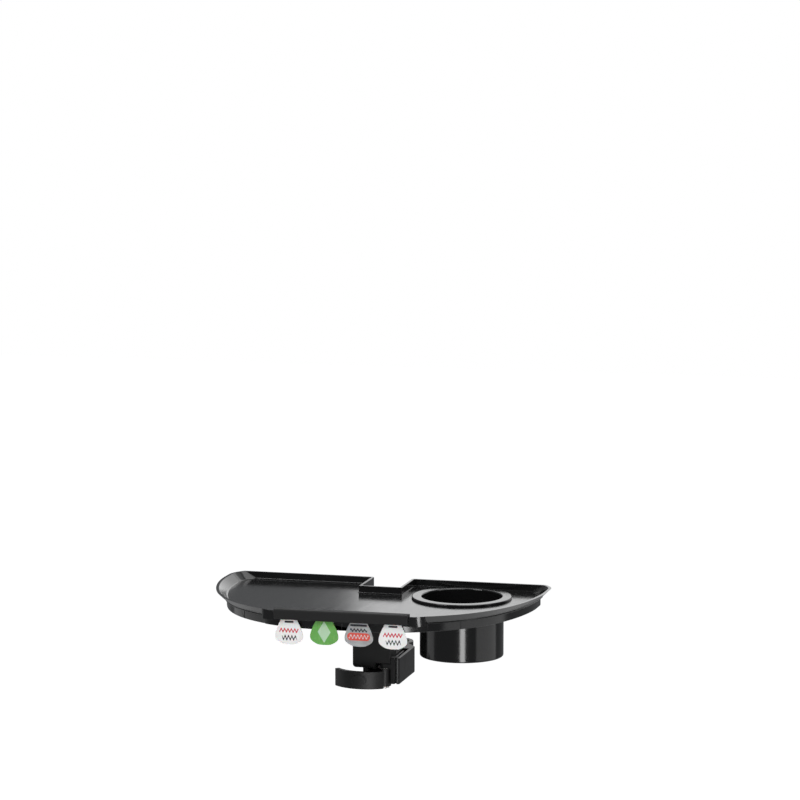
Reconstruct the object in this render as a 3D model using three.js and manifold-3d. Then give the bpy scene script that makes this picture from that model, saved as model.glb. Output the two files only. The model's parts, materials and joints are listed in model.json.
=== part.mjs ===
// Clamp-on accessory tray with a pick-holder strip for a microphone stand.
// Millimetres. Origin on the pole axis at mid height of the clamp jaws, +Z up the pole, -Y to the front.
import * as THREE from 'three';
import { mergeVertices } from 'three/addons/utils/BufferGeometryUtils.js';
import Module from 'manifold-3d';

const wasm = await Module();
wasm.setup();

// ---- driving dimensions -------------------------------------------------------------------------
const GAP = 0.3;                 // clearance between neighbouring pieces
const POLE_R = 9.5;              // stand tube, 19 mm

const SKIRT_Z = 57.4;            // lower edge of the tray skirt
const FLARE_Z = 65.2;            // where the skirt starts to flare
const RIM_Z = 73.0;              // top of the rim
const FLARE_OUT = 8.5;           // how far the rim stands out of the front of the skirt
const SKIRT_STEP = 1.3;          // how far the skirt sits back under the flare beside the front section
const RIB_X = [-99.5, 0, 99.5];  // fine upright ribs on the skirt
const RIB_HALF = 0.3;             // half width of such a rib
const CORNER_R = 20.0;           // plan radius of the back corners
const CORNER_Y = -30.0;          // where the side turns into that radius
const CORNER_TURN = 50;          // degrees turned before the back edge cuts it off
const WALL = 2.4;                // tray wall
const FLOOR_TOP = 66.3;          // upper face of the tray floor
const FLOOR_BOTTOM = 63.9;       // lower face of the tray floor
const FRONT_Y = -187.0;          // front of the skirt
const BACK_Y = -9.0;             // straight back edge
const ARC_R = 118.0;             // plan radius of the two front quarters
const ARC_X = 20.0;              // half length of the straight front
const ARC_END = -26;             // degrees, where each quarter hands over to a free curve
const SIDE_X = 144.8;            // half width of the skirt at its widest
const SIDE_Y = -42.0;            // where the skirt is widest
const SIDE_PULL = 25.0;          // length of the handles of the free curve
const FAR = 260.0;               // beyond the part on every side

const BLOCK_X = 74.0;            // half width of the flat front block
const BLOCK_FLAT_X = 66.0;       // half width of its flat face
const BLOCK_Y = -188.3;          // its front face
const BLOCK_END_Y = -183.5;      // where its chamfered ends stop
const BLOCK_Z = 64.2;            // its lower edge

const NOTCH_X = 18.0;            // half width of the slot in the back edge
const NOTCH_Y = -54.0;           // closed end of the slot
const MOUTH_R = 3.0;             // rounding of the two corners at its mouth

const WELL_X = 76.6;             // cup well centre
const WELL_Y = -57.0;
const WELL_R = 38.1;             // outside radius
const WELL_WALL = 1.8;
const WELL_Z = 13.7;             // underside of the well
const WELL_LIP_R = 45.5;         // outside radius of the lip ring
const WELL_LIP_H = 2.0;
const WELL_PLAY = 0.35;          // clearance round the well in the tray
const COLLAR_T = 3.0;            // collar of the tray round the well

const RIB_T = 2.0;               // stiffening ribs under the floor
const RIB_Z = 60.4;              // their lower edge
const LONG_RIB = { from: -120.0, to: 34.0, y: -121.0 };
const CROSS_RIB = { x: -71.0, y: -170.0 };

const STRIP_X = 60.5;            // half length of the rubber strip
const STRIP_Y = -193.0;          // its front face
const STRIP_BOTTOM = 65.9;
const STRIP_TOP = 74.9;
const STRIP_LEG = 3.4;           // thickness of the front leg
const STRIP_INNER_T = 2.2;       // thickness of the leg behind the tray wall
const STRIP_INNER_Z = 69.0;      // lower edge of that leg

const PICK_T = 0.8;
const PICK_W = 26.0;
const PICK_H = 28.6;
const PICK_Y = -188.95;          // mid plane of the picks
const PICKS = [
  { name: 'pick_white_left', x: -47.5, low: 43.2, color: '#e9e8e6' },
  { name: 'pick_green', x: -15.4, low: 44.2, color: '#5fae50' },
  { name: 'pick_silver', x: 15.9, low: 44.3, color: '#a9a8a8' },
  { name: 'pick_white_right', x: 46.7, low: 43.5, color: '#ecebe9' },
];

const NECK_LEFT = -20.0;         // neck block of the clamp
const NECK_RIGHT = 15.0;
const NECK_FRONT = -79.0;
const NECK_BACK = -56.8;
const NECK_BOTTOM = 2.0;
const NECK_R = 3.0;              // rounding of its lower left edge
const FLANGE_Z = 58.6;           // lower face of the mounting flange
const FLANGE_T = 3.0;
const FLANGE_X = 33.0;
const FLANGE_FRONT = -97.0;
const CORE_BACK = -74.0;         // depth of the two coring pockets in the back of the neck
const CORE_LOW = 18.0;
const CORE_HIGH = 53.0;
const CORES = [[-15.0, -5.0], [-2.0, 7.0]];
const GUSSETS = [[-17.0, -13.0], [8.0, 12.0]];
const GUSSET_PROFILE = [[-58, 11], [-24, 11], [-24, 13], [-54, 46], [-58, 46]];

const JAW_H = 12.0;              // half height of beam and hook
const BEAM_X = 15.0;
const BEAM_FRONT = -62.0;
const BEAM_TAPER_Y = -20.5;      // where the beam narrows towards its jaw
const JAW_HALF = 8.2;            // half width of the V jaw
const JAW_Y = -12.2;             // where the taper meets the jaw
const JAW_ANGLE = 30;            // degrees of each flank of the V
const PAD_T = 2.2;               // rubber pad thickness
const PAD_PLAY = 0.2;            // from the pads to the tube

const ARM_IN = 15.3;             // inner face of the hook arm
const ARM_OUT = 23.7;            // outer face of the hook arm
const ARM_SKIN = 2.8;            // its outer wall beside the top pocket
const HOOK_R_OUT = 16.3;
const HOOK_R_IN = 12.0;
const HOOK_TIP = 112;            // degrees, end of the hook behind the pole

const PIN_X = 8.9;               // lever pin
const PIN_Y = -74.5;
const PIN_R = 2.2;
const LEVER_TOP = 1.5;
const LEVER_H = 16.0;
const LEVER_BAND = 4.2;
const BOW_R = 34.0;              // outer radius of the bowed lever
const BOW_X = -9.5;              // centre of that bow
const BOW_Y = -62.8;
const BOW_FROM = 221.5;          // degrees, free end of the lever
const BOW_TO = 308;              // degrees, end at the hub
const MARK_X = -9.6;             // raised oval on the lever
const MARK_Z = -6.5;
const MARK_A = 6.6;
const MARK_B = 5.4;
const MARK_RISE = 0.5;
const HUB_R = 6.0;
const STROKE = 4.0;              // hook travel
const SWING = 60;                // degrees of lever swing
const PLATE_Y = -62.9;           // front face of the wear plate
const EAR_Z = 2.0;               // hook ear that carries the pin
const EAR_H = 4.3;
const RAIL_Z = 6.0;              // height of the hook guide rail

const RAIL_HALF = 1.7;           // half height of its stem
const RAIL_HEAD = 1.5;           // how far its head stands out above and below the stem
const RAIL_FROM = -58.0;
const RAIL_TO = -36.0;
const RAIL_IN = 8.6;             // inner face of its head
const RAIL_STEM = 11.0;          // inner end of its stem

const SCREW_R = 1.5;
const SCREW_HEAD_R = 3.2;
const SCREW_BOSS_R = 4.5;
const SCREW_X = 26.0;
const SCREW_FRONT = -90.0;
const SCREW_REAR = -66.0;
const RIVET_X = [-58.0, -31.2, 1.4, 33.4, 58.0];
const RIVET_Z = 71.0;
const RIVET_R = 1.5;
const RIVET_HEAD_R = 2.8;
const RIVET_HEAD_H = 1.1;
const RIVET_FACE = BLOCK_Y + WALL + GAP + STRIP_INNER_T + 0.2;   // where the heads rest
const BORE_PLAY = 0.25;          // clearance of the fasteners in their holes
const WASHER_R = 5.0;
const WASHER_T = 0.3;

// ---- small helpers ------------------------------------------------------------------------------
const rad = (deg) => deg * Math.PI / 180;
const polar = (cx, cy, r, deg) => [cx + r * Math.cos(rad(deg)), cy + r * Math.sin(rad(deg))];

function arc(cx, cy, r, from, to, count) {
  const points = [];
  for (let i = 0; i <= count; i += 1) {
    points.push(polar(cx, cy, r, from + (to - from) * i / count));
  }
  return points;
}

function mirrorX(points) {
  return points.map(([x, y]) => [-x, y]).reverse();
}

function shapeOf(points) {
  return new THREE.Shape(points.map(([x, y]) => new THREE.Vector2(x, y)));
}

function toSolid(geometry) {
  const bare = geometry.clone();
  bare.deleteAttribute('normal');
  bare.deleteAttribute('uv');
  const merged = mergeVertices(bare, 1e-4);
  const mesh = new wasm.Mesh({
    numProp: 3,
    vertProperties: new Float32Array(merged.attributes.position.array),
    triVerts: new Uint32Array(merged.index.array),
  });
  return new wasm.Manifold(mesh);
}

function toGeometry(solid) {
  const mesh = solid.getMesh();
  const geometry = new THREE.BufferGeometry();
  geometry.setAttribute('position', new THREE.BufferAttribute(new Float32Array(mesh.vertProperties), 3));
  geometry.setIndex(new THREE.BufferAttribute(new Uint32Array(mesh.triVerts), 1));
  return geometry;
}

function prism(points, z0, z1) {
  const geometry = new THREE.ExtrudeGeometry(shapeOf(points), { depth: z1 - z0, bevelEnabled: false });
  return toSolid(geometry.translate(0, 0, z0));
}

// Extrusion along X of a profile given as [y, z] pairs.
function prismX(points, x0, x1) {
  const geometry = new THREE.ExtrudeGeometry(shapeOf(points), { depth: x1 - x0, bevelEnabled: false });
  geometry.rotateX(Math.PI / 2);
  geometry.rotateZ(Math.PI / 2);
  return toSolid(geometry.translate(x0, 0, 0));
}

// Extrusion along Y of a profile given as [x, z] pairs.
function prismY(points, y0, y1) {
  const geometry = new THREE.ExtrudeGeometry(shapeOf(points), { depth: y1 - y0, bevelEnabled: false });
  geometry.rotateX(Math.PI / 2);
  return toSolid(geometry.translate(0, y1, 0));
}

function box(x0, x1, y0, y1, z0, z1) {
  const geometry = new THREE.BoxGeometry(x1 - x0, y1 - y0, z1 - z0);
  return toSolid(geometry.translate((x0 + x1) / 2, (y0 + y1) / 2, (z0 + z1) / 2));
}

function rod(x, y, r, z0, z1, segments = 32) {
  const geometry = new THREE.CylinderGeometry(r, r, z1 - z0, segments);
  return toSolid(geometry.rotateX(Math.PI / 2).translate(x, y, (z0 + z1) / 2));
}

// Turned piece about a vertical axis; profile of [radius, z] pairs, closed on the axis.
function turned(profile, x, y, segments = 32) {
  const points = profile.map(([r, z]) => new THREE.Vector2(r, z));
  const geometry = new THREE.LatheGeometry(points, segments);
  return toSolid(geometry.rotateX(Math.PI / 2).translate(x, y, 0));
}

function node(name, solid, color, roughness, metalness) {
  const material = new THREE.MeshStandardMaterial({ color, roughness, metalness });
  const mesh = new THREE.Mesh(toGeometry(solid), material);
  mesh.name = name;
  return mesh;
}

// ---- tray ---------------------------------------------------------------------------------------
// Right half of the skirt outline, front to back, moved inwards by `inset`; it runs past the back edge.
function skirtHalf(inset) {
  const radius = ARC_R - inset;
  const front = arc(ARC_X, FRONT_Y + ARC_R, radius, -90, ARC_END, 18);
  const [x, y] = front[front.length - 1];
  const ahead = polar(x, y, SIDE_PULL, ARC_END + 90);
  const side = new THREE.CubicBezierCurve(
    new THREE.Vector2(x, y),
    new THREE.Vector2(...ahead),
    new THREE.Vector2(SIDE_X - inset, SIDE_Y - SIDE_PULL),
    new THREE.Vector2(SIDE_X - inset, SIDE_Y),
  );
  const bulge = side.getPoints(10).slice(1).map((p) => [p.x, p.y]);
  const corner = arc(SIDE_X - CORNER_R, CORNER_Y, CORNER_R - inset, 0, CORNER_TURN, 7);
  const past = polar(...corner[corner.length - 1], CORNER_R * 2, CORNER_TURN + 90);
  return [...front, ...bulge, ...corner, past];
}

function skirtOutline(inset) {
  const right = skirtHalf(inset);
  return [...mirrorX(right), ...right];
}

// Body that flares from zFlare up; the top is left long and cut by the caller.
function flared(inset, zFlare) {
  const shape = shapeOf(skirtOutline(inset));
  const settings = {
    depth: 30,
    bevelEnabled: true,
    bevelThickness: RIM_Z - FLARE_Z,
    bevelSize: FLARE_OUT,
    bevelSegments: 1,
  };
  return toSolid(new THREE.ExtrudeGeometry(shape, settings).translate(0, 0, zFlare + RIM_Z - FLARE_Z));
}

// Everything in front of the back edge.
function beforeBack(inset, z0, z1) {
  return box(-FAR, FAR, -FAR, BACK_Y - inset, z0, z1);
}

function blockOutline(inset) {
  const x = BLOCK_X - inset;
  const flat = BLOCK_FLAT_X - inset / 2;
  return [[x, BLOCK_END_Y + inset], [x, -150], [-x, -150], [-x, BLOCK_END_Y + inset],
    [-flat, BLOCK_Y + inset], [flat, BLOCK_Y + inset]];
}

// The skirt sits back under the flare, except over the front section below the strip.
function skirt() {
  const top = FLARE_Z + 0.5;
  const sides = prism(skirtOutline(SKIRT_STEP), SKIRT_Z, top);
  const front = box(-BLOCK_X, BLOCK_X, -FAR, NOTCH_Y, SKIRT_Z - 1, top);
  let solid = sides.add(prism(skirtOutline(0), SKIRT_Z, top).intersect(front));
  for (const x of RIB_X) {
    const band = box(x - RIB_HALF, x + RIB_HALF, -FAR, NOTCH_Y, SKIRT_Z + 0.4, FLARE_Z);
    const proud = (Math.abs(x) < BLOCK_X ? 0 : SKIRT_STEP) - RIB_HALF;
    solid = solid.add(prism(skirtOutline(proud), SKIRT_Z, top).intersect(band));
  }
  return solid;
}

function outerEnvelope() {
  const clearFront = box(-BLOCK_X, BLOCK_X, -FAR, BLOCK_Y, SKIRT_Z - 1, RIM_Z + 1);
  const body = flared(0, FLARE_Z).add(skirt()).intersect(beforeBack(0, SKIRT_Z, RIM_Z));
  const block = prism(blockOutline(0), BLOCK_Z, RIM_Z);
  return body.subtract(clearFront).add(block);
}

function trayHollow() {
  const over = RIM_Z + 5;
  const low = prism(skirtOutline(WALL + SKIRT_STEP), FLOOR_TOP - 1, RIM_Z);
  const bowl = flared(WALL, FLARE_Z + 0.4).add(low).intersect(beforeBack(WALL, FLOOR_TOP, over));
  const clearFront = box(-BLOCK_X - 1, BLOCK_X + 1, -FAR, BLOCK_Y + WALL, FLOOR_TOP - 1, over + 1);
  return bowl.subtract(clearFront).add(prism(blockOutline(WALL), FLOOR_TOP, over));
}

function underHollow() {
  const inside = prism(skirtOutline(WALL + SKIRT_STEP), SKIRT_Z - 1, FLOOR_BOTTOM);
  return inside.intersect(beforeBack(WALL, SKIRT_Z - 1, FLOOR_BOTTOM));
}

function notchOutline() {
  const mouth = arc(NOTCH_X + MOUTH_R, BACK_Y - MOUTH_R, MOUTH_R, 180, 90, 5);
  const right = [[NOTCH_X, NOTCH_Y], ...mouth, [NOTCH_X + MOUTH_R, 10]];
  return [...mirrorX(right), ...right];
}

function floorRibs() {
  const { from, to, y } = LONG_RIB;
  const half = RIB_T / 2;
  const long = box(from, to, y - half, y + half, RIB_Z, FLOOR_TOP - 1);
  const cross = box(CROSS_RIB.x - half, CROSS_RIB.x + half, CROSS_RIB.y, BACK_Y - 1, RIB_Z, FLOOR_TOP - 1);
  return long.add(cross);
}

function screwPlaces() {
  return [[-SCREW_X, SCREW_FRONT], [SCREW_X, SCREW_FRONT], [-SCREW_X, SCREW_REAR], [SCREW_X, SCREW_REAR]];
}

function trayShell() {
  const below = SKIRT_Z - 1;
  const notchWall = box(-NOTCH_X - WALL, NOTCH_X + WALL, NOTCH_Y - WALL, BACK_Y, SKIRT_Z, RIM_Z);
  let solid = outerEnvelope().subtract(trayHollow()).subtract(underHollow()).add(floorRibs()).add(notchWall);
  solid = solid.add(rod(WELL_X, WELL_Y, WELL_R + COLLAR_T, SKIRT_Z + 1.5, FLOOR_TOP - 0.5, 64));
  for (const [x, y] of screwPlaces()) {
    solid = solid.add(rod(x, y, SCREW_BOSS_R, FLANGE_Z + FLANGE_T + GAP, FLOOR_TOP - 0.5, 24));
    solid = solid.subtract(rod(x, y, SCREW_R + BORE_PLAY, below, FLOOR_TOP - 1.2, 24));
  }
  solid = solid.subtract(prism(notchOutline(), below, RIM_Z + 1));
  solid = solid.subtract(rod(WELL_X, WELL_Y, WELL_R + WELL_PLAY, below, RIM_Z, 64));
  for (const x of RIVET_X) {
    solid = solid.subtract(rivetShank(x, RIVET_R + BORE_PLAY, BLOCK_Y - 1));
  }
  return solid;
}

// ---- cup well -----------------------------------------------------------------------------------
function cupWell() {
  const top = FLOOR_TOP + 0.15;
  const inner = WELL_R - WELL_WALL;
  const profile = [
    [0, WELL_Z], [WELL_R - 1.5, WELL_Z], [WELL_R - 0.4, WELL_Z + 0.5], [WELL_R, WELL_Z + 1.6],
    [WELL_R, top], [WELL_LIP_R, top], [WELL_LIP_R, top + 0.9], [WELL_LIP_R - 0.9, top + WELL_LIP_H],
    [inner + 1.6, top + WELL_LIP_H], [inner + 0.4, top + WELL_LIP_H - 0.6], [inner, top + WELL_LIP_H - 1.8],
    [inner, WELL_Z + 3.4], [inner - 0.8, WELL_Z + WELL_WALL + 0.4], [inner - 2.0, WELL_Z + WELL_WALL],
    [0, WELL_Z + WELL_WALL],
  ];
  return turned(profile, WELL_X, WELL_Y, 64);
}

// ---- pick strip and picks -----------------------------------------------------------------------
function pickStrip() {
  const legBack = STRIP_Y + STRIP_LEG;
  const inFront = BLOCK_Y + WALL + GAP;
  const inBack = inFront + STRIP_INNER_T;
  const web = RIM_Z + GAP;
  const profile = [
    [STRIP_Y + 0.6, STRIP_BOTTOM], [legBack, STRIP_BOTTOM], [legBack, web], [inFront, web],
    [inFront, STRIP_INNER_Z], [inBack, STRIP_INNER_Z], [inBack, STRIP_TOP - 0.7], [inBack - 0.7, STRIP_TOP],
    [STRIP_Y + 0.8, STRIP_TOP], [STRIP_Y, STRIP_TOP - 0.8], [STRIP_Y, STRIP_BOTTOM + 0.6],
  ];
  let solid = prismX(profile, -STRIP_X, STRIP_X);
  for (const x of RIVET_X) {
    solid = solid.subtract(rivetShank(x, RIVET_R + BORE_PLAY, BLOCK_Y + WALL - 1));
  }
  return solid;
}

// Push rivets along Y, heads inside the tray.
function rivetShank(x, radius, tipY) {
  const shank = new THREE.CylinderGeometry(radius, radius, RIVET_FACE - tipY, 20);
  return toSolid(shank.translate(x, (RIVET_FACE + tipY) / 2, RIVET_Z));
}

function stripRivet(x) {
  const cap = new THREE.CylinderGeometry(RIVET_HEAD_R * 0.8, RIVET_HEAD_R, RIVET_HEAD_H, 20);
  const head = toSolid(cap.translate(x, RIVET_FACE + RIVET_HEAD_H / 2, RIVET_Z));
  return rivetShank(x, RIVET_R, BLOCK_Y + 0.5).add(head);
}

function pickOutline() {
  const w = PICK_W / 2;
  const shape = new THREE.Shape();
  shape.moveTo(0, 0);
  shape.bezierCurveTo(3.2, 0, 5.0, 1.8, 6.6, 5.0);
  shape.bezierCurveTo(8.8, 9.6, 11.6, 14.0, w - 0.2, 19.6);
  shape.bezierCurveTo(w + 0.7, 24.6, w - 3.2, PICK_H - 2.4, 6.0, PICK_H - 0.7);
  shape.bezierCurveTo(3.0, PICK_H, -3.0, PICK_H, -6.0, PICK_H - 0.7);
  shape.bezierCurveTo(3.2 - w, PICK_H - 2.4, -w - 0.7, 24.6, 0.2 - w, 19.6);
  shape.bezierCurveTo(-11.6, 14.0, -8.8, 9.6, -6.6, 5.0);
  shape.bezierCurveTo(-5.0, 1.8, -3.2, 0, 0, 0);
  return shape.getPoints(7).slice(0, -1).map((p) => [p.x, p.y]);
}

// The pointed end goes up into the strip and the wide end hangs down.
function pick(place) {
  const outline = pickOutline().map(([x, z]) => [place.x - x, place.low + PICK_H - z]);
  return prismY(outline, PICK_Y - PICK_T / 2, PICK_Y + PICK_T / 2);
}

// ---- clamp body ---------------------------------------------------------------------------------
function neckProfile() {
  const corner = arc(NECK_LEFT + NECK_R, NECK_BOTTOM + NECK_R, NECK_R, 180, 270, 5);
  return [...corner, [NECK_RIGHT, NECK_BOTTOM], [NECK_RIGHT, FLANGE_Z + 1], [NECK_LEFT, FLANGE_Z + 1]];
}

function jawV(offset) {
  const apex = -POLE_R / Math.cos(rad(JAW_ANGLE)) - offset / Math.cos(rad(JAW_ANGLE));
  return { apex, wing: apex + JAW_HALF * Math.tan(rad(JAW_ANGLE)) };
}

function beamOutline() {
  const v = jawV(PAD_T + PAD_PLAY + GAP);
  const lip = JAW_HALF + GAP;
  return [
    [-BEAM_X, BEAM_FRONT], [BEAM_X, BEAM_FRONT], [BEAM_X, BEAM_TAPER_Y], [lip, JAW_Y], [lip, v.wing],
    [JAW_HALF, v.wing], [0, v.apex], [-JAW_HALF, v.wing], [-lip, v.wing], [-lip, JAW_Y],
    [-BEAM_X, BEAM_TAPER_Y],
  ];
}

function railSlot() {
  const half = RAIL_HALF + GAP;
  const stem = box(RAIL_STEM + 0.1, NECK_RIGHT + 5, RAIL_FROM - 0.5, 0, RAIL_Z - half, RAIL_Z + half);
  const tall = half + RAIL_HEAD;
  return stem.add(box(RAIL_IN - GAP, RAIL_STEM + 0.7, RAIL_FROM - 0.5, 0, RAIL_Z - tall, RAIL_Z + tall));
}

function clampBody() {
  let solid = prismY(neckProfile(), NECK_FRONT, NECK_BACK);
  solid = solid.add(box(-FLANGE_X, FLANGE_X, FLANGE_FRONT, NECK_BACK, FLANGE_Z, FLANGE_Z + FLANGE_T));
  solid = solid.add(prism(beamOutline(), -JAW_H, JAW_H));
  for (const [x0, x1] of GUSSETS) {
    solid = solid.add(prismX(GUSSET_PROFILE, x0, x1));
  }
  for (const [x0, x1] of CORES) {
    solid = solid.subtract(box(x0, x1, CORE_BACK, NECK_BACK + 1, CORE_LOW, CORE_HIGH));
  }
  const earPocket = box(1.4, NECK_RIGHT + 5, NECK_FRONT - 1, -63.5, 0, EAR_Z + EAR_H + 0.4);
  const platePocket = box(-0.3, 11.8, -66, PLATE_Y + 1.7, 0.1 - JAW_H, LEVER_TOP + 0.2);
  const beamCore = box(-11, 5, -56, -24, -JAW_H - 1, -4);
  solid = solid.subtract(earPocket).subtract(platePocket).subtract(beamCore).subtract(railSlot());
  for (const [x, y] of screwPlaces()) {
    solid = solid.subtract(rod(x, y, SCREW_R + 0.4, FLANGE_Z - 2, FLANGE_Z + FLANGE_T + 1, 20));
  }
  return solid;
}

function jawPad() {
  const outer = jawV(PAD_T + PAD_PLAY);
  const inner = jawV(PAD_PLAY);
  const profile = [[-JAW_HALF, outer.wing], [0, outer.apex], [JAW_HALF, outer.wing],
    [JAW_HALF, inner.wing], [0, inner.apex], [-JAW_HALF, inner.wing]];
  return prism(profile, -JAW_H + 1, JAW_H - 1);
}

// ---- hook ---------------------------------------------------------------------------------------
function hookOutline() {
  const outer = arc(0, 0, HOOK_R_OUT, -31, HOOK_TIP, 22);
  const tip = arc(...polar(0, 0, (HOOK_R_OUT + HOOK_R_IN) / 2, HOOK_TIP),
    (HOOK_R_OUT - HOOK_R_IN) / 2, HOOK_TIP, HOOK_TIP + 180, 6).slice(1, -1);
  const inner = arc(0, 0, HOOK_R_IN, HOOK_TIP, -35, 22);
  return [
    [ARM_IN, NECK_FRONT], [ARM_OUT - 2.0, NECK_FRONT], [ARM_OUT - 0.6, NECK_FRONT + 0.6],
    [ARM_OUT, NECK_FRONT + 2.0], [ARM_OUT, -22], ...outer, ...tip, ...inner, [10.1, -11.2], [ARM_IN, -18.5],
  ];
}

function hookEar() {
  const round = arc(PIN_X, PIN_Y, -NECK_FRONT + PIN_Y, 90, 270, 12);
  const root = [[ARM_IN + 1, NECK_FRONT], [ARM_IN + 1, 2 * PIN_Y - NECK_FRONT]];
  return prism([...round, ...root], EAR_Z, EAR_Z + EAR_H);
}

function guideRail() {
  const stem = box(RAIL_STEM, ARM_IN + 1.5, RAIL_FROM, RAIL_TO, RAIL_Z - RAIL_HALF, RAIL_Z + RAIL_HALF);
  const tall = RAIL_HALF + RAIL_HEAD;
  return stem.add(box(RAIL_IN, RAIL_STEM + 0.4, RAIL_FROM, RAIL_TO, RAIL_Z - tall, RAIL_Z + tall));
}

function hookJaw() {
  const skin = ARM_OUT - ARM_SKIN;
  const front = NECK_FRONT + 9;
  let solid = prism(hookOutline(), -JAW_H, JAW_H).add(hookEar());
  solid = solid.subtract(box(ARM_IN - 1, skin, front, -33, JAW_H - 1.6, JAW_H + 1));
  solid = solid.subtract(box(ARM_IN + 2, skin, front, -33, -2, JAW_H + 1));
  solid = solid.subtract(box(ARM_OUT - 4.3, ARM_OUT - 2.7, NECK_FRONT - 1, NECK_FRONT + 3.5, -20, 20));
  solid = solid.add(guideRail());
  solid = solid.subtract(rod(PIN_X, PIN_Y, PIN_R + 0.15, 0, 10, 28));
  return solid.subtract(rod(PIN_X, PIN_Y, 3.4, EAR_Z + EAR_H - 1.7, 10, 28));
}

function hookPad() {
  const end = HOOK_TIP - 2;
  const outer = arc(0, 0, HOOK_R_IN - 0.2, 18, end, 18);
  return prism([...outer, ...arc(0, 0, POLE_R + PAD_PLAY, end, 18, 18)], -JAW_H + 1, JAW_H - 1);
}

// ---- lever --------------------------------------------------------------------------------------
// Cam flank whose reach towards the wear plate grows evenly with the swing.
function camFlank() {
  const rate = STROKE / rad(SWING);
  const reach = PLATE_Y - PIN_Y - 0.25;
  const points = [];
  for (let deg = 90 - SWING; deg <= 90; deg += 5) {
    const h = reach - rate * rad(90 - deg);
    const n = [Math.cos(rad(deg)), Math.sin(rad(deg))];
    points.push([PIN_X + h * n[0] - rate * n[1], PIN_Y + h * n[1] + rate * n[0]]);
  }
  return points;
}

function leverBand(outer, inner) {
  const front = arc(BOW_X, BOW_Y, outer, BOW_FROM, BOW_TO, 18);
  return [...front, ...arc(BOW_X, BOW_Y, inner, BOW_TO, BOW_FROM, 18)];
}

function leverHub() {
  const side = arc(PIN_X, PIN_Y, HUB_R, -106, 0, 10);
  const root = [[-4.0, -92.6], [4.6, -90.8], [9.6, -88.0]];
  const back = [[PIN_X - 5.4, PIN_Y + 7.5], [PIN_X - 6.2, PIN_Y - 2], [-0.5, -84.5]];
  return [...side, ...camFlank(), ...back, ...root];
}

function markOval() {
  return new THREE.EllipseCurve(MARK_X, MARK_Z, MARK_A, MARK_B).getPoints(28).slice(1).map((p) => [p.x, p.y]);
}

function camLever() {
  const z0 = LEVER_TOP - LEVER_H;
  const band = prism(leverBand(BOW_R, BOW_R - LEVER_BAND), z0, LEVER_TOP);
  let solid = band.add(prism(leverHub(), z0, LEVER_TOP));
  const raised = prism(leverBand(BOW_R + MARK_RISE, BOW_R - LEVER_BAND / 2), z0 + 1, LEVER_TOP - 1);
  solid = solid.add(raised.intersect(prismY(markOval(), -FAR, BOW_Y)));
  return solid.subtract(rod(PIN_X, PIN_Y, PIN_R + 0.3, z0 - 1, LEVER_TOP + 1, 28));
}

function leverPin() {
  const top = EAR_Z + EAR_H - 0.2;
  const end = LEVER_TOP - LEVER_H - 2.6;
  const profile = [
    [0, end], [PIN_R - 0.4, end], [PIN_R, end + 0.4], [PIN_R, end + 0.8], [PIN_R - 0.5, end + 0.8],
    [PIN_R - 0.5, end + 1.9], [PIN_R, end + 1.9], [PIN_R, top - 1.2], [3.1, top - 1.2], [3.1, top - 0.3],
    [2.8, top], [0, top],
  ];
  return turned(profile, PIN_X, PIN_Y, 28);
}

function pinClip() {
  const z0 = LEVER_TOP - LEVER_H - 1.7;
  const groove = rod(PIN_X, PIN_Y, PIN_R - 0.4, z0 - 1, z0 + 2, 28);
  const ring = rod(PIN_X, PIN_Y, 4.2, z0, z0 + 0.8).subtract(groove);
  return ring.subtract(box(PIN_X - 1.2, PIN_X + 1.2, PIN_Y, PIN_Y + 10, z0 - 1, z0 + 2));
}

function washer(z0) {
  const hole = rod(PIN_X, PIN_Y, PIN_R + 0.3, z0 - 1, z0 + 1);
  return rod(PIN_X, PIN_Y, WASHER_R, z0, z0 + WASHER_T).subtract(hole);
}

function wearPlate() {
  return box(0, 11.5, PLATE_Y, PLATE_Y + 1.4, 0.4 - JAW_H, LEVER_TOP - 0.1);
}

// ---- fasteners ----------------------------------------------------------------------------------
function clampScrew(x, y) {
  const face = FLANGE_Z - 0.2;
  const tip = FLOOR_TOP - 1.6;
  const profile = [[0, face - 2.4], [2.0, face - 2.4], [3.0, face - 1.6], [SCREW_HEAD_R, face],
    [SCREW_R, face], [SCREW_R, tip], [0, tip]];
  const slot = box(x - 2, x + 2, y - 0.4, y + 0.4, face - 4, face - 1.3);
  const cross = box(x - 0.4, x + 0.4, y - 2, y + 2, face - 4, face - 1.3);
  return turned(profile, x, y, 24).subtract(slot).subtract(cross);
}

// ---- assembly -----------------------------------------------------------------------------------
const part = new THREE.Group();
part.name = 'clamp_tray';
part.add(node('tray_shell', trayShell(), '#1c1d1f', 0.25, 0));
part.add(node('cup_well', cupWell(), '#1a1b1d', 0.25, 0));
part.add(node('pick_strip', pickStrip(), '#232426', 0.8, 0));
for (const place of PICKS) {
  part.add(node(place.name, pick(place), place.color, 0.35, 0));
}
part.add(node('clamp_body', clampBody(), '#202123', 0.5, 0));
part.add(node('jaw_pad', jawPad(), '#2b2c2e', 0.9, 0));
part.add(node('hook_jaw', hookJaw(), '#212224', 0.5, 0));
part.add(node('hook_pad', hookPad(), '#2b2c2e', 0.9, 0));
part.add(node('cam_lever', camLever(), '#1f2022', 0.4, 0));
part.add(node('lever_pin', leverPin(), '#b4b6b9', 0.3, 1));
part.add(node('pin_clip', pinClip(), '#8f9194', 0.35, 1));
part.add(node('washer_top', washer(LEVER_TOP + 0.1), '#d8d8d4', 0.5, 0));
part.add(node('washer_bottom', washer(LEVER_TOP - LEVER_H - 0.2 - WASHER_T), '#d8d8d4', 0.5, 0));
part.add(node('wear_plate', wearPlate(), '#9a9da1', 0.35, 1));
screwPlaces().forEach(([x, y], i) => {
  part.add(node(`clamp_screw_${i + 1}`, clampScrew(x, y), '#8a8c90', 0.35, 1));
});
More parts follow.
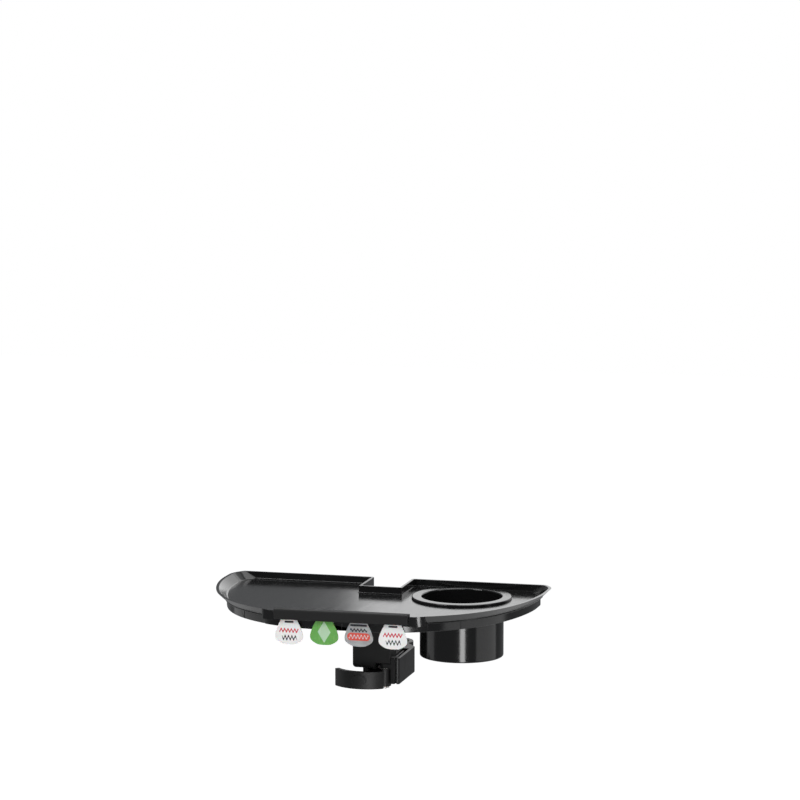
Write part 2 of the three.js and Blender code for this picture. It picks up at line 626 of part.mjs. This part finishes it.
RIVET_X.forEach((x, i) => {
  part.add(node(`strip_rivet_${i + 1}`, stripRivet(x), '#2a2b2d', 0.5, 0));
});

export default part;
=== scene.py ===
"""Looks of a clamp-on stand tray with a pick strip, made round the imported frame. Lengths in metres."""
import json
import math

import bmesh
import bpy
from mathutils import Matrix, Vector


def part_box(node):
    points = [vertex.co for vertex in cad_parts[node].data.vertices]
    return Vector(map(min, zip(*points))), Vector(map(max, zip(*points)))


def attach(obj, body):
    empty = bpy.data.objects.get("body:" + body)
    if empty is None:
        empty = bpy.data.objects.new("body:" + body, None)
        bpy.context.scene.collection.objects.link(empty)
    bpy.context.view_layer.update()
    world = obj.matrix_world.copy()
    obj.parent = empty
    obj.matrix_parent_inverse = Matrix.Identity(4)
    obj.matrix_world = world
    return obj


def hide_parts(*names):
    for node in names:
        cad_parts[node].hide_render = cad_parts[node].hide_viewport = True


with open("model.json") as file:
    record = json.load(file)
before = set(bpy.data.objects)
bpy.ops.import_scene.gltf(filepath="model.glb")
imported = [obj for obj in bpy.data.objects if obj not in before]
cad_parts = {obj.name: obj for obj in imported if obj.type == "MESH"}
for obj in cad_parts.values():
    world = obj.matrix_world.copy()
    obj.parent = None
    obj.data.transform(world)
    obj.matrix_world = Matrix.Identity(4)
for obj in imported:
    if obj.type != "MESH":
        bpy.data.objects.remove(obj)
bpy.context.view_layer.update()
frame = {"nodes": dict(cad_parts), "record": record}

MM = 0.001
TINY = 0.05 * MM                 # points of a CAD mesh closer than this are merged
LEVEL_SLACK = 0.02 * MM          # how far from a height an edge may lie and count as level with it
SHARP_ANGLE = 34                 # degrees; a steeper edge is shaded as a sharp one
ROUND_ANGLE = 25                 # degrees; a shallower edge is not rounded
ROUND_SEGMENTS = 3
FILLET_STEPS = 5
TURN_SEGMENTS = 160

# ---- places read from the frame ------------------------------------------------------------------
TRAY_LOW, TRAY_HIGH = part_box("tray_shell")
WELL_LOW, WELL_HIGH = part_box("cup_well")
WELL_X = (WELL_LOW.x + WELL_HIGH.x) / 2
WELL_Y = (WELL_LOW.y + WELL_HIGH.y) / 2
FLOOR_TOP = TRAY_LOW.z + 8.9 * MM
FLARE_LOW = TRAY_LOW.z + 7.8 * MM

WELL_R = 38.1 * MM
WELL_LIP_R = (WELL_HIGH.x - WELL_LOW.x) / 2
WELL_WALL = 1.8 * MM
WELL_LIP_T = 2.0 * MM

# ---- grip pads and the bead along the flare ------------------------------------------------------
PAD_RIB = 2.4 * MM               # pitch of the grooves in the grip pads
PAD_GROOVE = 0.5 * MM            # their depth
PAD_SLOPE = 0.25 * MM            # height of each sloping side of a groove
PAD_FLAT = 0.5 * MM              # height of its bottom
PAD_CHAMFER = 0.3 * MM           # height of the bevel round each end of a pad
PAD_CHAMFER_IN = 0.25            # how far that goes in, as a share of the groove depth

BEAD_R = 0.8 * MM
BEAD_Z = TRAY_LOW.z + 8.0 * MM
BEAD_SIDES = 12

# Plan of the flare's lower edge, right half, in millimetres and degrees: an arc in front, a bend
# along the side, a rounded back corner and a short run in from it.
FRONT_CENTRE, FRONT_R = Vector((20, -69)), 118
FRONT_ANGLES = range(-62, -25, 2)
SIDE_END = Vector((144.8, -42))
SIDE_PULL = 25                   # length of the bend's handles
SIDE_START_TURN = 64             # direction of the first one
SIDE_STEPS = 16
CORNER_CENTRE, CORNER_R = Vector((124.8, -30)), 20
CORNER_ANGLES = range(0, 51, 5)
RUN_IN, RUN_IN_TURN = 8, 140

# ---- camera --------------------------------------------------------------------------------------
TARGET = Vector((0, -0.095, 0.040))
CAMERA_AZIMUTH = 15.18
CAMERA_ELEVATION = 11.35
CAMERA_DISTANCE = 2.85
CAMERA_LENS = 141.7
AIM_RIGHT = 0.0281               # how far beside and above the target the camera is aimed
AIM_UP = 0.2084

# ---- floor and lights ----------------------------------------------------------------------------
STAGE_DROP = 1.40                # the tray hangs this high above the floor, as on its stand
FLOOR_SIDE, FLOOR_FRONT, FLOOR_BACK = 12.0, -0.5, 14.0
FLOOR_GLOW = 0.85                # keeps the floor as white as the background in view
ROOM_LIGHT = 0.20
CENTRE = Vector((0, -0.09, 0.03))
SOFTBOXES = [                    # name, azimuth, elevation, distance, size, brightness
    ("strip_box", 18, -15, 2.2, (0.5, 1.5), 9),
    ("key", -38, 38, 2.4, (1.0, 1.0), 9),
    ("low_right", 88, -14, 2.4, (3.0, 0.5), 0.9),
    ("low_left", -95, -14, 2.4, (2.4, 0.5), 0.6),
    ("back_top", 178, 42, 3.0, (3.2, 1.3), 0.6),
    ("front_top", 42, 56, 2.2, (1.7, 0.7), 4.5),
    ("right_side", 82, 24, 2.2, (0.5, 1.2), 1.8),
    ("overhead", 150, 72, 2.2, (2.0, 1.4), 2.2),
    ("back_panel", 165.5, 17, 3.0, (3.4, 1.8), 1.2),
]


def direction(azimuth, elevation):
    """Unit vector towards a place seen from the object; azimuth 0 is in front."""
    a, e = math.radians(azimuth), math.radians(elevation)
    return Vector((math.sin(a) * math.cos(e), -math.cos(a) * math.cos(e), math.sin(e)))


def polar(radius, degrees):
    turn = math.radians(degrees)
    return Vector((radius * math.cos(turn), radius * math.sin(turn)))


def look(obj, place, aim):
    obj.location = place
    obj.rotation_euler = (aim - place).to_track_quat("-Z", "Y").to_euler()


def link(obj):
    bpy.context.scene.collection.objects.link(obj)
    return obj


def add_camera():
    camera = link(bpy.data.objects.new("camera", bpy.data.cameras.new("camera")))
    camera.data.lens = CAMERA_LENS
    camera.data.sensor_width = 36
    camera.data.clip_end = 100
    towards = direction(CAMERA_AZIMUTH, CAMERA_ELEVATION)
    right = Vector((0, 0, 1)).cross(towards).normalized()
    up = towards.cross(right)
    place = TARGET + towards * CAMERA_DISTANCE
    look(camera, place, TARGET + right * AIM_RIGHT + up * AIM_UP)
    bpy.context.scene.camera = camera


# ---- node trees ----------------------------------------------------------------------------------
class Tree:
    """A material's node tree, with short calls for the nodes used here."""

    def __init__(self, material):
        self.tree = material.node_tree
        self.shader = self.tree.nodes["Principled BSDF"]
        self.place = self.tree.nodes.new("ShaderNodeTexCoord").outputs["Object"]

    def put(self, socket, value):
        if isinstance(value, bpy.types.NodeSocket):
            self.tree.links.new(value, socket)
        else:
            socket.default_value = value

    def node(self, kind, inputs, **settings):
        node = self.tree.nodes.new(kind)
        for key, value in settings.items():
            setattr(node, key, value)
        for key, value in inputs.items():
            self.put(node.inputs[key], value)
        return node

    def stretched(self, x, y, z):
        inputs = {"Vector": self.place, "Scale": (x, y, z)}
        return self.node("ShaderNodeMapping", inputs).outputs["Vector"]

    def noise(self, scale, detail=3.0, roughness=0.5, vector=None):
        place = vector or self.place
        inputs = {"Vector": place, "Scale": scale, "Detail": detail, "Roughness": roughness}
        return self.node("ShaderNodeTexNoise", inputs).outputs["Fac"]

    def remap(self, value, low, high, to_low, to_high):
        inputs = {"Value": value, "From Min": low, "From Max": high,
                  "To Min": to_low, "To Max": to_high}
        return self.node("ShaderNodeMapRange", inputs).outputs["Result"]

    def math(self, operation, a, b=0.0):
        return self.node("ShaderNodeMath", {0: a, 1: b}, operation=operation).outputs[0]

    def mix(self, factor, a, b):
        """Mix of two colours; the colour sockets of the node are numbers 6 and 7, and 2 outwards."""
        return self.node("ShaderNodeMix", {0: factor, 6: a, 7: b}, data_type="RGBA").outputs[2]

    def bump(self, height, strength, distance, normal=None):
        inputs = {"Height": height, "Strength": strength, "Distance": distance}
        if normal:
            inputs["Normal"] = normal
        return self.node("ShaderNodeBump", inputs).outputs["Normal"]

    def edges(self, radius):
        """1 along worn convex edges, 0 on the faces."""
        round_normal = self.node("ShaderNodeBevel", {"Radius": radius}, samples=6).outputs["Normal"]
        true_normal = self.tree.nodes.new("ShaderNodeNewGeometry").outputs["Normal"]
        inputs = {0: round_normal, 1: true_normal}
        dot = self.node("ShaderNodeVectorMath", inputs, operation="DOT_PRODUCT")
        return self.remap(dot.outputs["Value"], 0.995, 0.90, 0.0, 1.0)

    def set(self, **values):
        for key, value in values.items():
            self.put(self.shader.inputs[key.replace("_", " ")], value)


def material(name, build, *arguments):
    made = bpy.data.materials.new(name)
    made.use_nodes = True
    build(Tree(made), *arguments)
    return made


def grey(value, warm=0.0):
    return (value * (1 + warm), value, value * (1 - warm), 1)


def gloss_plastic(t):
    """Glossy black moulding with faint flow clouds, wipe marks, fine scratches and specks of dust."""
    dust = t.remap(t.noise(1400, 2, 0.6), 0.70, 0.78, 0, 0.30)
    cloud = t.noise(28, 4, 0.6)
    wipe = t.noise(90, 5, 0.7, t.stretched(1, 0.18, 1))
    scratch = t.remap(t.noise(1100, 2, 0.4, t.stretched(0.04, 1, 1)), 0.64, 0.74, 0, 1)
    worn = t.math("MULTIPLY", t.edges(0.5 * MM), t.remap(t.noise(160, 3), 0.4, 0.65, 0.15, 1))
    base = t.mix(cloud, grey(0.0038), grey(0.0085, -0.03))
    rough = t.math("ADD", t.remap(wipe, 0.35, 0.7, 0.13, 0.18), t.math("MULTIPLY", scratch, 0.04))
    peel = t.bump(t.noise(420, 2), 0.05, 0.03 * MM)
    base = t.mix(t.math("MULTIPLY", scratch, 0.12), t.mix(dust, base, grey(0.09, 0.04)), grey(0.04))
    t.set(Base_Color=t.mix(worn, base, grey(0.03)), Normal=t.bump(scratch, 0.02, 0.02 * MM, peel))
    t.set(Roughness=t.math("ADD", rough, t.math("MULTIPLY", worn, 0.12)), IOR=1.52)


def grain_plastic(t, base_low, base_high, rough_low, rough_high):
    """Spark-eroded satin black plastic, a little polished along its edges."""
    grain = t.noise(2600, 2, 0.6)
    cloud = t.noise(45, 4, 0.6)
    worn = t.math("MULTIPLY", t.edges(0.6 * MM), t.remap(t.noise(220, 3), 0.35, 0.65, 0.2, 1))
    base = t.mix(cloud, grey(base_low), grey(base_high, 0.02))
    t.set(Base_Color=t.mix(worn, base, grey(0.04)), Specular_IOR_Level=0.36)
    t.set(Normal=t.bump(grain, 0.22, 0.06 * MM))
    rough = t.remap(cloud, 0.3, 0.7, rough_low, rough_high)
    t.set(Roughness=t.math("SUBTRACT", rough, t.math("MULTIPLY", worn, 0.1)), IOR=1.5)


def rubber(t, along):
    """Matte extruded rubber with fine draw lines and a little dust."""
    lines = t.noise(1500, 2, 0.5, t.stretched(*along))
    dust = t.remap(t.noise(1900, 2, 0.6), 0.66, 0.8, 0, 1)
    cloud = t.noise(60, 3, 0.6)
    base = t.mix(cloud, grey(0.0045), grey(0.0075))
    t.set(Base_Color=t.mix(t.math("MULTIPLY", dust, 0.4), base, grey(0.04, 0.05)))
    t.set(Roughness=t.remap(cloud, 0.3, 0.7, 0.52, 0.68), Normal=t.bump(lines, 0.25, 0.05 * MM))
    t.set(Specular_IOR_Level=0.3, IOR=1.5)


def zinc_steel(t):
    """Zinc-plated steel with turning marks."""
    lines = t.noise(1200, 3, 0.6, t.stretched(0.2, 0.2, 3))
    patch = t.noise(180, 3, 0.5)
    t.set(Base_Color=t.mix(patch, grey(0.48), grey(0.62, 0.03)), Metallic=1.0)
    t.set(Roughness=t.remap(patch, 0.3, 0.7, 0.24, 0.38), Normal=t.bump(lines, 0.15, 0.02 * MM))


def nylon(t):
    """Milky nylon with a fine moulded grain."""
    cloud = t.noise(300, 3)
    t.set(Base_Color=t.mix(cloud, grey(0.62, 0.04), grey(0.72, 0.05)))
    t.set(Roughness=t.remap(cloud, 0, 1, 0.4, 0.5), Normal=t.bump(t.noise(1500), 0.1, 0.03 * MM))
    t.set(Subsurface_Weight=0.1, Subsurface_Scale=0.001)


# ---- printed marks on the picks ------------------------------------------------------------------
RED_INK = (0.55, 0.035, 0.06, 1)
BAR_RED = (0.62, 0.09, 0.07, 1)
DARK_INK = (0.03, 0.03, 0.035, 1)
PALE_GREEN = (0.42, 0.61, 0.42, 1)
WAVE_PITCH = 3.1 * MM
INK_EDGE = 0.08 * MM             # half width of a stroke's soft edge
INK_RAGGED = 0.12 * MM


def offset(t, x, z):
    """Distances along X and Z from a point on a pick's face."""
    split = t.node("ShaderNodeSeparateXYZ", {"Vector": t.place})
    return t.math("SUBTRACT", split.outputs["X"], x), t.math("SUBTRACT", split.outputs["Z"], z)


def bar(t, x, z, half_width, half_height, wave=0.0):
    """Mask of a soft-ended printed stroke; `wave` is the height of its squiggle."""
    dx, dz = offset(t, x, z)
    squiggle = t.math("SINE", t.math("MULTIPLY", dx, 2 * math.pi / WAVE_PITCH))
    dz = t.math("ADD", dz, t.math("MULTIPLY", squiggle, wave))
    past_end = t.math("SUBTRACT", t.math("ABSOLUTE", dx), half_width - half_height)
    beyond = t.math("MAXIMUM", past_end, 0.0)
    squares = t.math("ADD", t.math("MULTIPLY", beyond, beyond), t.math("MULTIPLY", dz, dz))
    rough_edge = t.remap(t.noise(2200, 2), 0, 1, -INK_RAGGED, INK_RAGGED)
    reach = t.math("ADD", t.math("SQRT", squares), rough_edge)
    return t.remap(reach, half_height - INK_EDGE, half_height + INK_EDGE, 1.0, 0.0)


def diamond(t, x, z, half_width, half_height):
    """Mask of a printed diamond."""
    dx, dz = offset(t, x, z)
    across = t.math("DIVIDE", t.math("ABSOLUTE", dx), half_width)
    upwards = t.math("DIVIDE", t.math("ABSOLUTE", dz), half_height)
    return t.remap(t.math("ADD", across, upwards), 0.98, 1.02, 1.0, 0.0)


def celluloid(t, base, pale, marks, rough=0.2, pearl=0.35):
    """Polished celluloid with soft pearl clouds, use scratches and printed marks [(mask, colour)]."""
    swirl = t.noise(120, 5, 0.65, t.stretched(1, 1, 2.2))
    scratch = t.remap(t.noise(900, 2, 0.5, t.stretched(1, 1, 0.07)), 0.62, 0.72, 0, 1)
    colour = t.mix(t.remap(swirl, 0.35, 0.7, 0, pearl), base, pale)
    for mask, ink in marks:
        colour = t.mix(mask, colour, ink)
    polish = t.remap(swirl, 0, 1, rough, rough + 0.08)
    t.set(Base_Color=colour, Roughness=t.math("ADD", polish, t.math("MULTIPLY", scratch, 0.12)))
    t.set(Coat_Weight=0.25, Coat_Roughness=0.08, Subsurface_Weight=0.12, Subsurface_Scale=0.0012)
    t.set(Normal=t.bump(scratch, 0.06, 0.02 * MM))


def white_pick(t, x, low):
    marks = [
        (bar(t, x, low + 12.5 * MM, 8.8 * MM, 1.0 * MM, 1.2 * MM), RED_INK),
        (bar(t, x + 0.4 * MM, low + 6.0 * MM, 6.8 * MM, 1.05 * MM, 1.5 * MM), DARK_INK),
        (bar(t, x + 0.2 * MM, low + 20.1 * MM, 4.2 * MM, 0.9 * MM), DARK_INK),
    ]
    celluloid(t, grey(0.78, 0.01), grey(0.88), marks)


def green_pick(t, x, low):
    marks = [(diamond(t, x, low + 11.6 * MM, 5.9 * MM, 9.6 * MM), PALE_GREEN)]
    celluloid(t, (0.132, 0.365, 0.085, 1), (0.18, 0.44, 0.125, 1), marks)


def silver_pick(t, x, low):
    marks = [
        (bar(t, x, low + 18.9 * MM, 7.6 * MM, 0.9 * MM), DARK_INK),
        (bar(t, x, low + 14.6 * MM, 7.8 * MM, 0.9 * MM, 0.9 * MM), DARK_INK),
        (bar(t, x, low + 8.8 * MM, 10.4 * MM, 3.4 * MM), BAR_RED),
        (bar(t, x, low + 8.8 * MM, 9.0 * MM, 0.6 * MM, 1.4 * MM), grey(0.62)),
    ]
    celluloid(t, grey(0.29), grey(0.50, -0.03), marks, 0.22, 0.8)


# ---- meshes --------------------------------------------------------------------------------------
def mesh_copy(node):
    """A clean copy of a CAD node's mesh: tiny edges merged and flat faces joined into one."""
    work = bmesh.new()
    work.from_mesh(frame["nodes"][node].data)
    bmesh.ops.remove_doubles(work, verts=work.verts, dist=TINY)
    bmesh.ops.dissolve_degenerate(work, edges=work.edges, dist=TINY)
    bmesh.ops.dissolve_limit(work, angle_limit=math.radians(0.8), verts=work.verts, edges=work.edges)
    return work


def round_edges(work, radius, keep):
    """Rounds the edges that `keep` picks and that are steep enough."""
    limit = math.radians(ROUND_ANGLE)
    chosen = [e for e in work.edges
              if len(e.link_faces) == 2 and e.calc_face_angle(0) > limit and keep(e)]
    bmesh.ops.bevel(work, geom=chosen, offset=radius, segments=ROUND_SEGMENTS, profile=0.5,
                    affect="EDGES", clamp_overlap=True)


def finish_mesh(work, name, finish):
    """A scene object of the mesh, smooth but for its sharp edges."""
    limit = math.radians(SHARP_ANGLE)
    bmesh.ops.dissolve_degenerate(work, edges=work.edges, dist=1e-6)
    bmesh.ops.recalc_face_normals(work, faces=work.faces)
    for face in work.faces:
        face.smooth = True
    for edge in work.edges:
        edge.smooth = len(edge.link_faces) == 2 and edge.calc_face_angle(0) < limit
    mesh = bpy.data.meshes.new(name)
    work.to_mesh(mesh)
    work.free()
    mesh.materials.append(finish)
    obj = link(bpy.data.objects.new(name, mesh))
    weighted = obj.modifiers.new("weighted_normals", "WEIGHTED_NORMAL")
    weighted.keep_sharp = True
    weighted.weight = 100
    return obj


def rounded(node, body, slot, finish, *passes):
    """The CAD node again, its edges rounded in passes of (radius, which edges)."""
    work = mesh_copy(node)
    for radius, keep in passes:
        round_edges(work, radius, keep)
    stand_in(finish_mesh(work, node + "_fine", finish), node, body)


def stand_in(piece, node, body):
    """Makes a piece ride on a body in place of a CAD node."""
    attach(piece, body)
    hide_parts(node)


def ring_faces(work, rings):
    """Quads between closed rings of the same number of vertices, one ring after another."""
    for lower, upper in zip(rings, rings[1:]):
        count = len(lower)
        for i in range(count):
            j = (i + 1) % count
            work.faces.new((lower[i], lower[j], upper[j], upper[i]))


def turned(node, body, finish, profile, x, y):
    """Turned piece about a vertical axis; the profile starts and ends on the axis."""
    work = bmesh.new()
    turns = [polar(1, 360 * i / TURN_SEGMENTS) for i in range(TURN_SEGMENTS)]
    rings = []
    for radius, z in profile[1:-1]:
        spots = [(x + radius * turn.x, y + radius * turn.y, z) for turn in turns]
        rings.append([work.verts.new(spot) for spot in spots])
    ring_faces(work, rings)
    for ring, (_, z) in ((rings[0], profile[0]), (rings[-1], profile[-1])):
        middle = work.verts.new((x, y, z))
        for i in range(TURN_SEGMENTS):
            work.faces.new((middle, ring[i], ring[(i + 1) % TURN_SEGMENTS]))
    stand_in(finish_mesh(work, node + "_fine", finish), node, body)


def fillet(corner, before, after, radius):
    """Points rounding a profile corner."""
    corner, before, after = Vector(corner), Vector(before), Vector(after)
    a, b = (before - corner).normalized(), (after - corner).normalized()
    half = a.angle(b) / 2
    reach = radius / math.tan(half)
    centre = corner + (a + b).normalized() * (radius / math.sin(half))
    start, end = corner + a * reach - centre, corner + b * reach - centre
    turn = start.angle_signed(end)
    points = []
    for i in range(FILLET_STEPS + 1):
        angle = -turn * i / FILLET_STEPS
        c, s = math.cos(angle), math.sin(angle)
        points.append((centre.x + c * start.x - s * start.y, centre.y + s * start.x + c * start.y))
    return points


def softened(profile, radii):
    """Profile with a fillet of the given radius at each inner point; radius 0 keeps the corner."""
    points = [profile[0]]
    for i, radius in enumerate(radii, start=1):
        if radius:
            points += fillet(profile[i], profile[i - 1], profile[i + 1], radius)
        else:
            points.append(profile[i])
    return points + [profile[-1]]


def ribbed_pad(node, body, inner_within):
    """Grip pad with moulded grooves across the face that meets the tube, the part of its outline
    that lies nearer to the tube's axis than `inner_within`."""
    work = mesh_copy(node)
    low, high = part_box(node)
    top = max((f for f in work.faces if f.normal.z > 0.9), key=lambda f: f.calc_area())
    outline = [Vector((v.co.x, v.co.y)) for v in top.verts]
    work.free()
    levels = [(low.z, PAD_CHAMFER_IN), (low.z + PAD_CHAMFER, 0.0)]
    z = low.z + PAD_RIB
    while z < high.z - PAD_RIB:
        levels += [(z, 0.0), (z + PAD_SLOPE, 1.0), (z + PAD_SLOPE + PAD_FLAT, 1.0),
                   (z + 2 * PAD_SLOPE + PAD_FLAT, 0.0)]
        z += PAD_RIB
    levels += [(high.z - PAD_CHAMFER, 0.0), (high.z, PAD_CHAMFER_IN)]
    pad = bmesh.new()
    rings = []
    for z, sunk in levels:
        ring = []
        for point in outline:
            inner = point.length < inner_within
            push = 1 + (PAD_GROOVE * sunk / point.length if inner else 0)
            ring.append(pad.verts.new((point.x * push, point.y * push, z)))
        rings.append(ring)
    ring_faces(pad, rings)
    pad.faces.new(rings[0])
    pad.faces.new(rings[-1])
    stand_in(finish_mesh(pad, node + "_ribbed", PAD), node, body)


def every_edge(edge):
    return True


def level(z):
    """Picks the edges that lie flat at one height."""
    return lambda edge: all(abs(v.co.z - z) < LEVEL_SLACK for v in edge.verts)


# ---- pieces --------------------------------------------------------------------------------------
GLOSS = material("tray_plastic", gloss_plastic)
CLAMP = material("clamp_plastic", grain_plastic, 0.0045, 0.0075, 0.34, 0.44)
LEVER = material("lever_plastic", grain_plastic, 0.0060, 0.0095, 0.42, 0.52)
STRIP = material("strip_rubber", rubber, (0.03, 1, 1))
PAD = material("pad_rubber", rubber, (1, 1, 0.05))
STEEL = material("zinc_steel", zinc_steel)
NYLON = material("washer_nylon", nylon)
RIVET = material("rivet_plastic", grain_plastic, 0.012, 0.02, 0.4, 0.5)


def tray():
    rim = level(TRAY_HIGH.z)
    flare = level(FLARE_LOW)
    skirt = level(TRAY_LOW.z)
    floor = level(FLOOR_TOP)
    rounded("tray_shell", "tray", "tray_plastic", GLOSS,
            (0.7 * MM, rim), (0.5 * MM, flare), (0.5 * MM, skirt), (1.2 * MM, floor))


def flare_outline():
    """Right half of the lower edge of the flare, from the front section round to the back edge."""
    points = [FRONT_CENTRE + polar(FRONT_R, a) for a in FRONT_ANGLES]
    start, end = points[-1], SIDE_END
    handle_a, handle_b = start + polar(SIDE_PULL, SIDE_START_TURN), end - Vector((0, SIDE_PULL))
    for i in range(1, SIDE_STEPS + 1):
        t = i / SIDE_STEPS
        points.append((1 - t) ** 3 * start + 3 * (1 - t) ** 2 * t * handle_a
                      + 3 * (1 - t) * t ** 2 * handle_b + t ** 3 * end)
    points += [CORNER_CENTRE + polar(CORNER_R, a) for a in CORNER_ANGLES]
    points.append(points[-1] + polar(RUN_IN, RUN_IN_TURN))
    return [p * MM for p in points]


def flare_bead(side, name):
    """Fine moulded bead along the lower edge of the flare; `side` is 1 on the right, -1 on the left."""
    path = flare_outline()
    work = bmesh.new()
    rings = []
    for i, point in enumerate(path):
        along = (path[min(i + 1, len(path) - 1)] - path[max(i - 1, 0)]).normalized()
        out = Vector((along.y, -along.x))
        ring = []
        for k in range(BEAD_SIDES):
            offset_out, offset_up = polar(BEAD_R, 360 * k / BEAD_SIDES)
            spot = point + out * offset_out
            ring.append(work.verts.new((side * spot.x, spot.y, BEAD_Z + offset_up)))
        rings.append(ring)
    ring_faces(work, rings)
    work.faces.new(rings[0])
    work.faces.new(rings[-1])
    bead = finish_mesh(work, name, GLOSS)
    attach(bead, "tray")


def cup_well():
    low, top = WELL_LOW.z, WELL_HIGH.z
    inner, under, floor = WELL_R - WELL_WALL, top - WELL_LIP_T, low + WELL_WALL
    profile = [(0, low), (WELL_R, low), (WELL_R, under), (WELL_LIP_R, under), (WELL_LIP_R, top),
               (inner, top), (inner, floor), (0, floor)]
    radii = [1.5 * MM, 0, 0.3 * MM, 0.9 * MM, 1.3 * MM, 2.0 * MM]
    turned("cup_well", "tray", GLOSS, softened(profile, radii), WELL_X, WELL_Y)


def clamp():
    rounded("clamp_body", "tray", "clamp_plastic", CLAMP, (0.5 * MM, every_edge))
    rounded("hook_jaw", "hook", "clamp_plastic", CLAMP, (0.4 * MM, every_edge))
    rounded("cam_lever", "lever", "lever_plastic", LEVER, (0.6 * MM, every_edge))
    ribbed_pad("jaw_pad", "tray", inner_within=11.8 * MM)
    ribbed_pad("hook_pad", "hook", inner_within=10.8 * MM)
    rounded("wear_plate", "tray", "steel", STEEL, (0.2 * MM, every_edge))
    for node in ("lever_pin", "pin_clip"):
        rounded(node, "hook", "steel", STEEL, (0.12 * MM, every_edge))
    for node in ("washer_top", "washer_bottom"):
        rounded(node, "hook", "washer_nylon", NYLON, (0.07 * MM, every_edge))


def fasteners():
    for node in frame["nodes"]:
        if node.startswith("clamp_screw"):
            rounded(node, "tray", "steel", STEEL, (0.12 * MM, every_edge))
        if node.startswith("strip_rivet"):
            rounded(node, "tray", "rivet_plastic", RIVET, (0.2 * MM, every_edge))


def picks():
    kinds = {"pick_white_left": white_pick, "pick_green": green_pick, "pick_silver": silver_pick,
             "pick_white_right": white_pick}
    slots = {row["node"]: row["material_slot"] for row in frame["record"]["subparts"]}
    for node, look_of in kinds.items():
        low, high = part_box(node)
        finish = material(node, look_of, (low.x + high.x) / 2, low.z)
        rounded(node, node, slots[node], finish, (0.22 * MM, every_edge))


# ---- stage ---------------------------------------------------------------------------------------
def pale_floor():
    """Pale floor under the object and behind it."""
    x, front, back, z = FLOOR_SIDE, FLOOR_FRONT, FLOOR_BACK, -STAGE_DROP
    mesh = bpy.data.meshes.new("floor")
    corners = [(-x, front, z), (x, front, z), (x, back, z), (-x, back, z)]
    mesh.from_pydata(corners, [], [(0, 1, 2, 3)])
    pale = bpy.data.materials.new("pale_floor")
    pale.use_nodes = True
    shader = pale.node_tree.nodes["Principled BSDF"]
    shader.inputs["Base Color"].default_value = (0.85, 0.85, 0.85, 1)
    shader.inputs["Roughness"].default_value = 0.9
    shader.inputs["Emission Color"].default_value = (1, 1, 1, 1)
    seen = pale.node_tree.nodes.new("ShaderNodeLightPath").outputs["Is Camera Ray"]
    glow = pale.node_tree.nodes.new("ShaderNodeMath")
    glow.operation = "MULTIPLY"
    glow.inputs[1].default_value = FLOOR_GLOW
    pale.node_tree.links.new(seen, glow.inputs[0])
    pale.node_tree.links.new(glow.outputs[0], shader.inputs["Emission Strength"])
    mesh.materials.append(pale)
    link(bpy.data.objects.new("floor", mesh))


def studio_world():
    """White behind the object, and a dim room for everything else to reflect."""
    world = bpy.data.worlds.new("studio")
    bpy.context.scene.world = world
    world.use_nodes = True
    nodes, links = world.node_tree.nodes, world.node_tree.links
    room = nodes["Background"]
    room.inputs["Color"].default_value = (0.95, 0.97, 1, 1)
    room.inputs["Strength"].default_value = ROOM_LIGHT
    white = nodes.new("ShaderNodeBackground")
    white.inputs["Color"].default_value = (1, 1, 1, 1)
    mix = nodes.new("ShaderNodeMixShader")
    links.new(nodes.new("ShaderNodeLightPath").outputs["Is Camera Ray"], mix.inputs["Fac"])
    links.new(room.outputs[0], mix.inputs[1])
    links.new(white.outputs[0], mix.inputs[2])
    links.new(mix.outputs[0], nodes["World Output"].inputs["Surface"])


def softbox(name, azimuth, elevation, distance, size, brightness):
    """Rectangular softbox round the object, as bright as asked whatever its size."""
    light = bpy.data.lights.new(name, "AREA")
    light.shape = "RECTANGLE"
    light.size, light.size_y = size
    light.energy = brightness * math.pi * size[0] * size[1]
    obj = link(bpy.data.objects.new(name, light))
    look(obj, CENTRE + direction(azimuth, elevation) * distance, CENTRE)
    obj.visible_camera = False


def stage():
    pale_floor()
    studio_world()
    bpy.context.scene.view_settings.view_transform = "Standard"
    for box in SOFTBOXES:
        softbox(*box)


add_camera()
tray()
flare_bead(1, "flare_bead_right")
flare_bead(-1, "flare_bead_left")
cup_well()
rounded("pick_strip", "tray", "strip_rubber", STRIP, (0.5 * MM, every_edge))
clamp()
fasteners()
picks()
stage()
